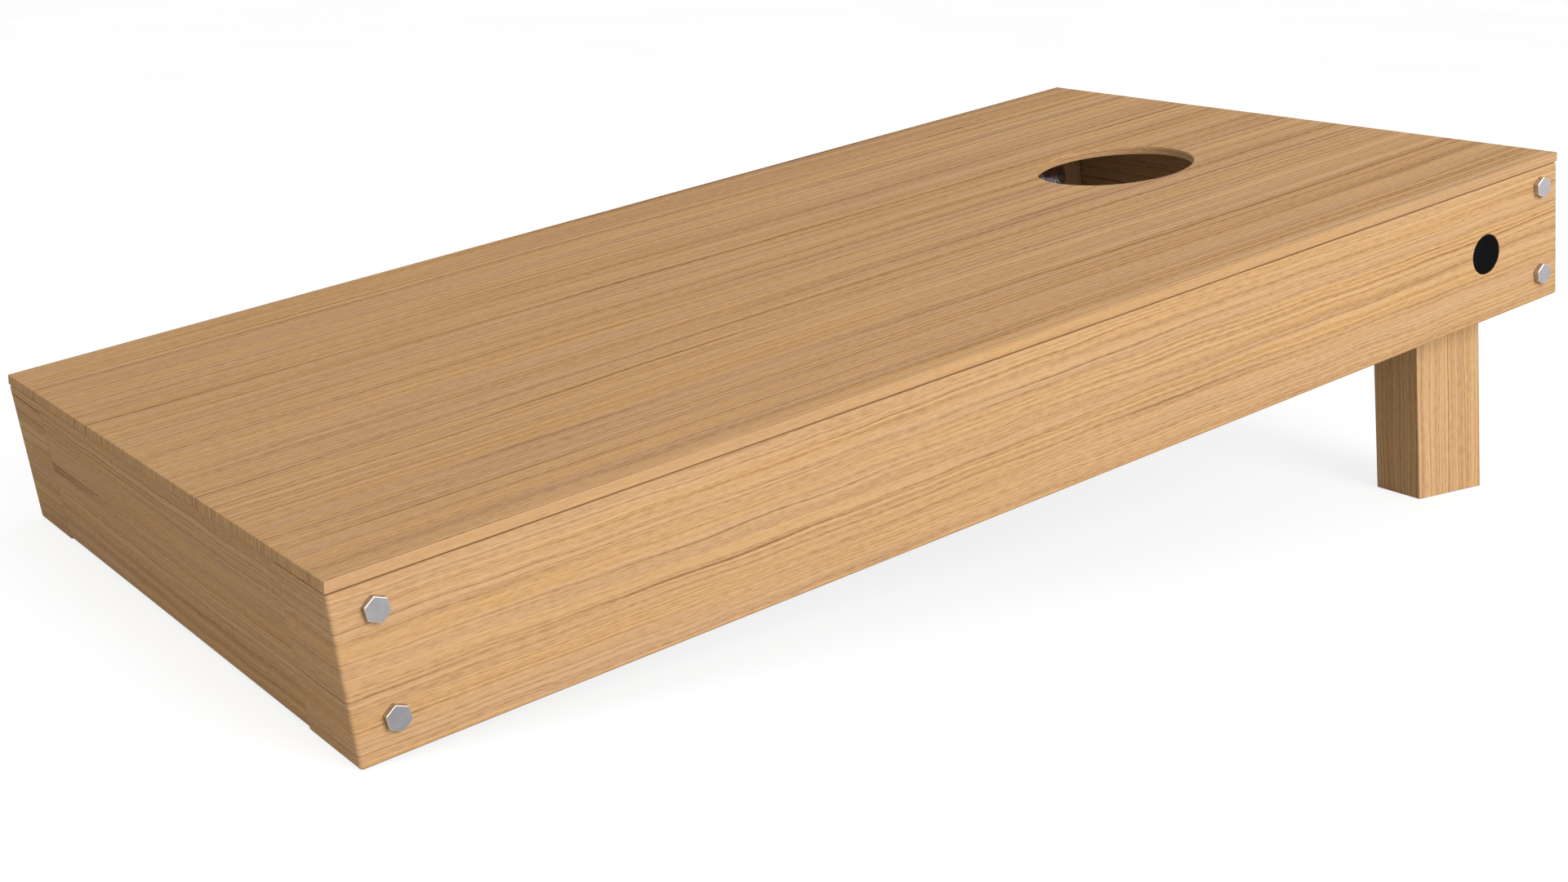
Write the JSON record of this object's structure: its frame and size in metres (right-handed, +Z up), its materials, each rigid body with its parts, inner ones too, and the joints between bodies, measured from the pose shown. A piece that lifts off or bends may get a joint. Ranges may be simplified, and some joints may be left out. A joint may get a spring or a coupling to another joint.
{
  "type": "cornhole board",
  "caption": "Tilted wooden cornhole board on two folding rear legs: thin deck with a round throw hole on a bolted timber frame.",
  "frame": {"origin": "on the ground, on the centre line, at the middle of the standing board's length (centre of the bottom of its box)", "axes": "+Z up, +Y from the low front end to the raised back end, +X to the right of someone standing at the front end and facing the board"},
  "size_m": [0.6866, 1.2242, 0.3245],
  "materials": {
    "deck_wood": "light oak-coloured veneer, fine dark grain streaks along the length, satin clear coat",
    "frame_wood": "light oak-coloured timber, dark grain streaks along each board, satin clear coat",
    "leg_wood": "light oak-coloured timber, grain along the leg, satin clear coat",
    "zinc_steel": "zinc-plated, satin",
    "cap_plastic": "black, matte",
    "nylon": "natural nylon, matte"
  },
  "bodies": {
    "frame": {"barrel_nut_back_lower_left": "zinc_steel", "barrel_nut_back_lower_right": "zinc_steel", "barrel_nut_back_upper_left": "zinc_steel", "barrel_nut_back_upper_right": "zinc_steel", "barrel_nut_front_lower_left": "zinc_steel", "barrel_nut_front_lower_right": "zinc_steel", "barrel_nut_front_upper_left": "zinc_steel", "barrel_nut_front_upper_right": "zinc_steel", "centre_brace": "frame_wood", "corner_bolt_back_lower_left": "zinc_steel", "corner_bolt_back_lower_right": "zinc_steel", "corner_bolt_back_upper_left": "zinc_steel", "corner_bolt_back_upper_right": "zinc_steel", "corner_bolt_front_lower_left": "zinc_steel", "corner_bolt_front_lower_right": "zinc_steel", "corner_bolt_front_upper_left": "zinc_steel", "corner_bolt_front_upper_right": "zinc_steel", "deck_panel": "deck_wood", "end_board_back": "frame_wood", "end_board_front": "frame_wood", "pivot_bolt_left": "zinc_steel", "pivot_bolt_right": "zinc_steel", "pivot_cap_left": "cap_plastic", "pivot_cap_right": "cap_plastic", "pivot_head_washer_left": "zinc_steel", "pivot_head_washer_right": "zinc_steel", "pivot_lock_nut_left": "zinc_steel", "pivot_lock_nut_right": "zinc_steel", "pivot_nut_washer_left": "zinc_steel", "pivot_nut_washer_right": "zinc_steel", "pivot_spacer_washer_left": "nylon", "pivot_spacer_washer_right": "nylon", "side_rail_left": "frame_wood", "side_rail_right": "frame_wood"},
    "leg_right": {"leg_right": "leg_wood"},
    "leg_left": {"leg_left": "leg_wood"}
  },
  "joints": [
    {"name": "leg_right_fold", "type": "hinge", "parent": "frame", "child": "leg_right", "pos_m": [0.26895, 0.50373, 0.23825], "axis": [-1, 0, 0], "range_deg": [0, 90]},
    {"name": "leg_left_fold", "type": "hinge", "parent": "frame", "child": "leg_left", "pos_m": [-0.26895, 0.50373, 0.23825], "axis": [-1, 0, 0], "range_deg": [0, 90]}
  ]
}
